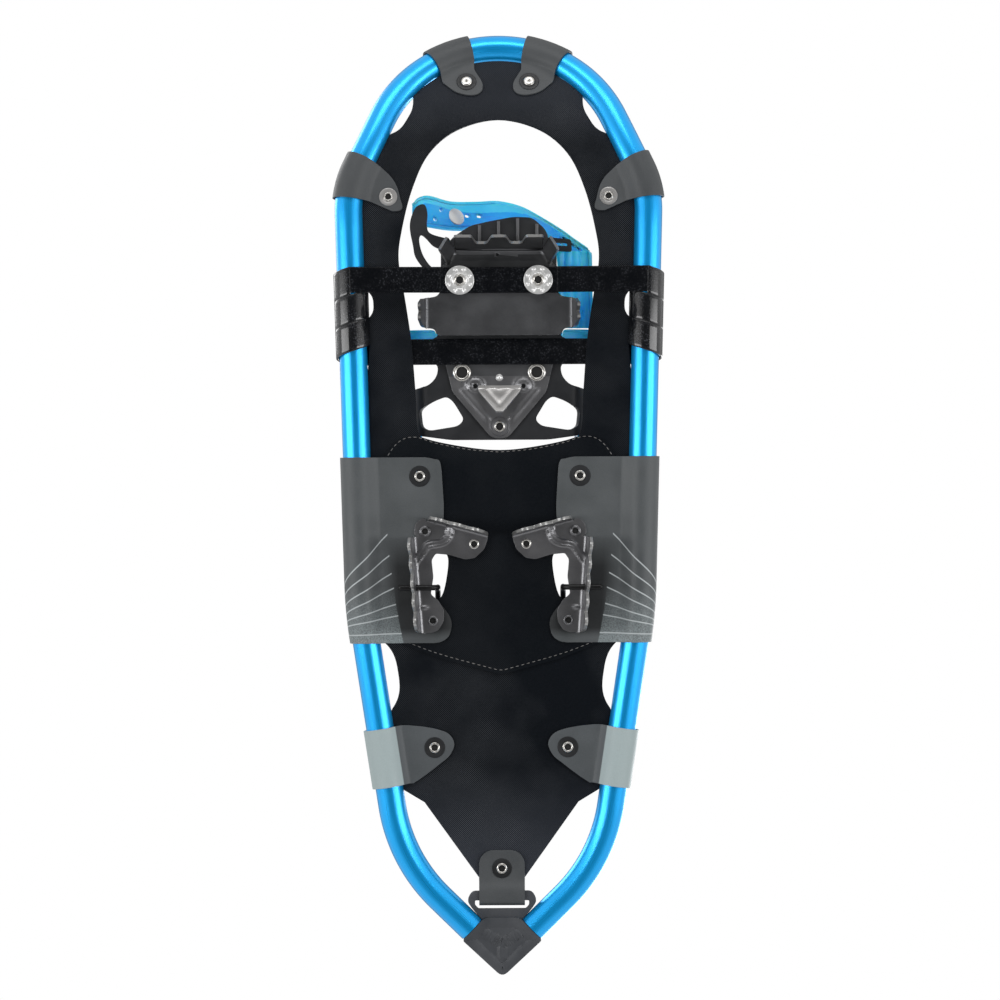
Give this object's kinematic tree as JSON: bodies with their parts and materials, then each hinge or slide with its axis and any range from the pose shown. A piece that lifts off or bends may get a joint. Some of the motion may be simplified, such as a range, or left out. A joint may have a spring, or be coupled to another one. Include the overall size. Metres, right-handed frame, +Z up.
{
  "type": "snowshoe",
  "caption": "Tube-frame snowshoe with riveted fabric deck, folded toe and heel crampons, strap-hung pitching binding and wire heel lift.",
  "frame": {"origin": "on the ground under the middle of the bounding box", "axes": "+Y towards the toe, +Z up out of the deck, +X to the wearer's right"},
  "size_m": [0.2038, 0.5765, 0.087],
  "materials": {
    "tube": "satin anodised blue",
    "deck": "coated weave, satin",
    "wrap": "satin coated sheet",
    "strap": "gloss pebbled strap",
    "tip": "moulded black",
    "steel": "dark satin steel",
    "wire": "black coated wire",
    "rivet": "bright",
    "harness": "moulded black",
    "band": "satin blue elastomer"
  },
  "bodies": {
    "frame": {"frame_tube": "tube", "deck": "deck", "heel_patch": "deck", "toe_wrap_left": "wrap", "toe_wrap_right": "wrap", "shoulder_wrap_left": "wrap", "shoulder_wrap_right": "wrap", "side_wrap_left": "wrap", "side_wrap_right": "wrap", "rear_wrap_left": "wrap", "rear_wrap_right": "wrap", "tail_strap": "wrap", "strap_winding_left": "strap", "strap_winding_right": "strap", "pivot_strap_left": "strap", "pivot_strap_right": "strap", "rear_strap": "strap", "tail_tip": "tip", "heel_crampon_left": "steel", "heel_crampon_right": "steel", "toe_rivet_left": "rivet", "toe_rivet_right": "rivet", "shoulder_rivet_left": "rivet", "shoulder_rivet_right": "rivet", "side_rivet_left": "rivet", "side_rivet_right": "rivet", "rear_rivet_left": "rivet", "rear_rivet_right": "rivet", "heel_rivet_outer_left": "rivet", "heel_rivet_outer_right": "rivet", "heel_rivet_inner_left": "rivet", "heel_rivet_inner_right": "rivet", "heel_rivet_back_left": "rivet", "heel_rivet_back_right": "rivet", "tail_rivet": "rivet"},
    "binding": {"pivot_strap_middle": "strap", "toe_crampon": "steel", "rear_crampon": "steel", "binding_base": "harness", "toe_piece": "harness", "toe_loop": "harness", "toe_strap": "band", "side_strap": "band", "instep_strap": "band", "heel_strap": "band", "crampon_rivet_left": "rivet", "crampon_rivet_right": "rivet", "crampon_washer_left": "rivet", "crampon_washer_right": "rivet", "rear_crampon_rivet_1": "rivet", "rear_crampon_rivet_2": "rivet", "rear_crampon_rivet_3": "rivet"},
    "heel_lift": {"heel_lift": "wire"}
  },
  "joints": [
    {"name": "binding_pitch", "type": "hinge", "parent": "frame", "child": "binding", "pos_m": [0, 0.1375, 0.0195], "axis": [-1, 0, 0], "range_deg": [0, 42]},
    {"name": "heel_lift_tilt", "type": "hinge", "parent": "frame", "child": "heel_lift", "pos_m": [0, -0.0503, 0.0155], "axis": [-1, 0, 0], "range_deg": [0, 95]}
  ]
}
